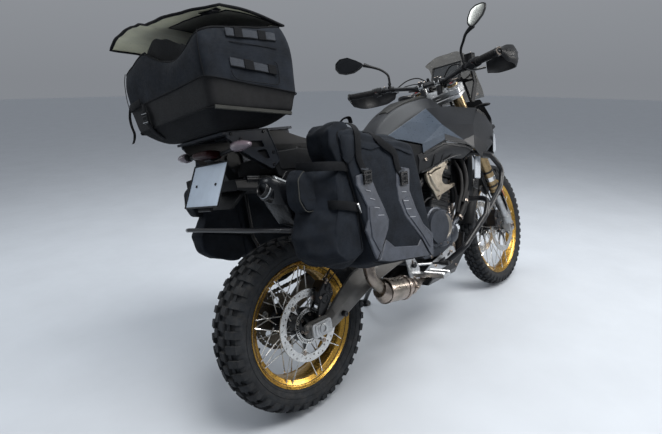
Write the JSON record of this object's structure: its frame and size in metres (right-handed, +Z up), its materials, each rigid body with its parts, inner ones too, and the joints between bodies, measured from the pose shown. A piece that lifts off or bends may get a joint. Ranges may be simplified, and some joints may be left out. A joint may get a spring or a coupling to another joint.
{
  "type": "adventure motorcycle",
  "caption": "Mid-size adventure motorcycle with spoked wheels, knobby tyres, crash bars, soft panniers and a tail bag, leaning on its side stand.",
  "frame": {"origin": "bottom centre of the bounding box, on the ground the motorcycle stands on", "axes": "+X forward, +Y to the left, +Z up; the machine leans 13.17 degrees to the left about X on its side stand, with the bars turned 3.73 degrees to the left"},
  "size_m": [2.2943, 1.0254, 1.5135],
  "materials": {
    "black_metal": "satin",
    "engine_grey": "satin",
    "cover_bronze": "satin",
    "exhaust_steel": "heat tinted",
    "silencer_black": "satin",
    "swingarm_grey": "satin",
    "chain_steel": "oiled",
    "black_plastic": "grained",
    "bare_alloy": "satin",
    "tank_black": "gloss",
    "lens_clear": "gloss",
    "screen_smoke": "gloss",
    "seat_cover": "grained",
    "plate_white": "gloss",
    "rack_grey": "satin",
    "bag_fabric": "coated weave",
    "tyre_rubber": "dusty",
    "rim_gold": "anodised",
    "disc_steel": "ground",
    "fork_gold": "anodised",
    "black_rubber": "matt",
    "lid_lining": "coated"
  },
  "bodies": {
    "chassis": {"frame": "black_metal", "engine": "engine_grey", "engine_covers": "cover_bronze", "radiator": "black_metal", "exhaust_pipe": "exhaust_steel", "silencer": "silencer_black", "swingarm": "swingarm_grey", "shock_absorber": "black_metal", "rear_caliper": "black_metal", "chain": "chain_steel", "chain_guard": "black_plastic", "rear_axle": "bare_alloy", "fuel_tank": "tank_black", "fuel_cap": "black_metal", "side_fairings": "tank_black", "front_fairing": "black_plastic", "headlight": "lens_clear", "windscreen": "screen_smoke", "instrument_display": "black_plastic", "seat": "seat_cover", "tail_cover": "black_plastic", "signal_lamps": "lens_clear", "number_plate": "plate_white", "luggage_rack": "rack_grey", "pannier_rack": "black_metal", "pannier_right": "bag_fabric", "pannier_left": "bag_fabric", "tail_bag": "bag_fabric", "crash_bars": "black_metal", "skid_plate": "bare_alloy", "footpegs": "bare_alloy", "stand_bracket": "black_metal"},
    "rear_wheel": {"rear_tyre": "tyre_rubber", "rear_rim": "rim_gold", "rear_hub": "black_metal", "rear_disc": "disc_steel", "rear_sprocket": "disc_steel"},
    "fork": {"fork_upper_tubes": "fork_gold", "fork_lower_legs": "black_metal", "triple_clamps": "bare_alloy", "handlebar": "black_metal", "hand_controls": "black_rubber", "hand_guards": "black_plastic", "mirrors": "black_plastic", "front_fender": "black_plastic", "front_calipers": "black_metal", "front_axle": "bare_alloy"},
    "front_wheel": {"front_tyre": "tyre_rubber", "front_rim": "rim_gold", "front_hub": "black_metal", "front_discs": "disc_steel"},
    "side_stand": {"side_stand": "black_metal"},
    "tail_bag_lid": {"tail_bag_lid": "lid_lining"}
  },
  "joints": [
    {"name": "rear_wheel_spin", "type": "hinge", "parent": "chassis", "child": "rear_wheel", "pos_m": [-0.7952, -0.15452, 0.32073], "axis": [0, 0.9737, -0.2278], "continuous": true},
    {"name": "steering", "type": "hinge", "parent": "chassis", "child": "fork", "pos_m": [0.37452, 0.00657, 1.00918], "axis": [-0.4695, 0.2012, 0.8597], "range_deg": [-41, 34]},
    {"name": "front_wheel_spin", "type": "hinge", "parent": "fork", "child": "front_wheel", "pos_m": [0.7977, -0.14614, 0.34161], "axis": [-0.0574, 0.9647, -0.2571], "continuous": true},
    {"name": "side_stand_fold", "type": "hinge", "parent": "chassis", "child": "side_stand", "pos_m": [-0.1532, -0.0153, 0.25734], "axis": [0.0265, 0.807, 0.59], "range_deg": [0, 98]},
    {"name": "tail_bag_lid_hinge", "type": "hinge", "parent": "chassis", "child": "tail_bag_lid", "pos_m": [-0.8372, 0.07605, 1.30611], "axis": [0, 0.9737, -0.2278], "range_deg": [-2, 95]}
  ]
}
